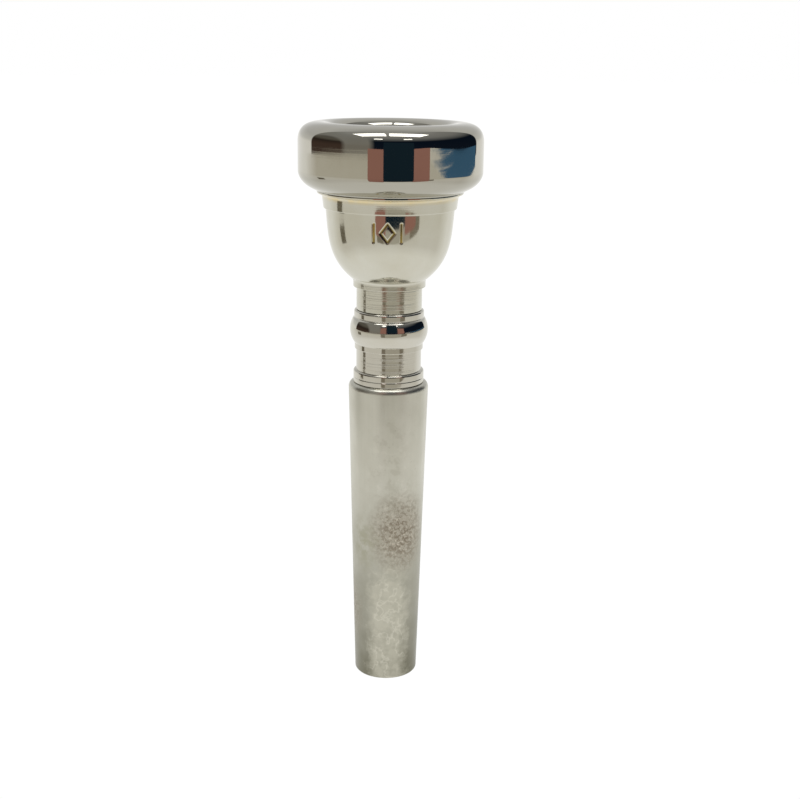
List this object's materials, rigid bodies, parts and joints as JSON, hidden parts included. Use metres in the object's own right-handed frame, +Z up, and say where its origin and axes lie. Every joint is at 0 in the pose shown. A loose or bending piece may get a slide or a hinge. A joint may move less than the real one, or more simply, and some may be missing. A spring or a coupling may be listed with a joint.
{
  "type": "trumpet mouthpiece",
  "caption": "Cup mouthpiece for a trumpet: a round lip rim screwed to a bowl-shaped cup, a beaded neck, and a tapered shank that wedges into the leadpipe.",
  "frame": {"origin": "centre of the shank's small end, on the airway's axis, at the lowest point of the mouthpiece standing upright", "axes": "+Z up the airway's axis towards the rim; +X and +Y are alike, as the outside is turned; the size mark on the cup faces -Y"},
  "size_m": [0.0272, 0.0272, 0.087],
  "materials": {
    "shank_satin_plate": "satin",
    "stem_polished_plate": "gloss",
    "cup_polished_plate": "polished",
    "rim_polished_plate": "polished",
    "seal_rubber": "matte"
  },
  "bodies": {
    "shank_sleeve": {"shank_sleeve": "shank_satin_plate"},
    "stem": {"stem": "stem_polished_plate"},
    "cup_seal": {"cup_seal": "seal_rubber"},
    "cup": {"cup": "cup_polished_plate"},
    "rim_seal": {"rim_seal": "seal_rubber"},
    "rim": {"rim": "rim_polished_plate"}
  },
  "joints": [
    {"name": "stem_pull", "type": "slide", "parent": "shank_sleeve", "child": "stem", "axis": [0, 0, 1], "range_m": [0, 0.037]},
    {"name": "cup_lift", "type": "slide", "parent": "stem", "child": "cup_seal", "axis": [0, 0, 1], "range_m": [0, 0.00401]},
    {"name": "cup_turn", "type": "hinge", "parent": "cup_seal", "child": "cup", "pos_m": [0, 0, 0], "axis": [0, 0, 1], "range_deg": [0, 1440]},
    {"name": "rim_lift", "type": "slide", "parent": "cup", "child": "rim_seal", "axis": [0, 0, 1], "range_m": [0, 0.00401]},
    {"name": "rim_turn", "type": "hinge", "parent": "rim_seal", "child": "rim", "pos_m": [0, 0, 0], "axis": [0, 0, 1], "range_deg": [0, 1440]}
  ],
  "couplings": [
    {"joint": "cup_lift", "follows": "cup_turn", "m_per_rad": 0.00015915},
    {"joint": "rim_lift", "follows": "rim_turn", "m_per_rad": 0.00015915}
  ]
}
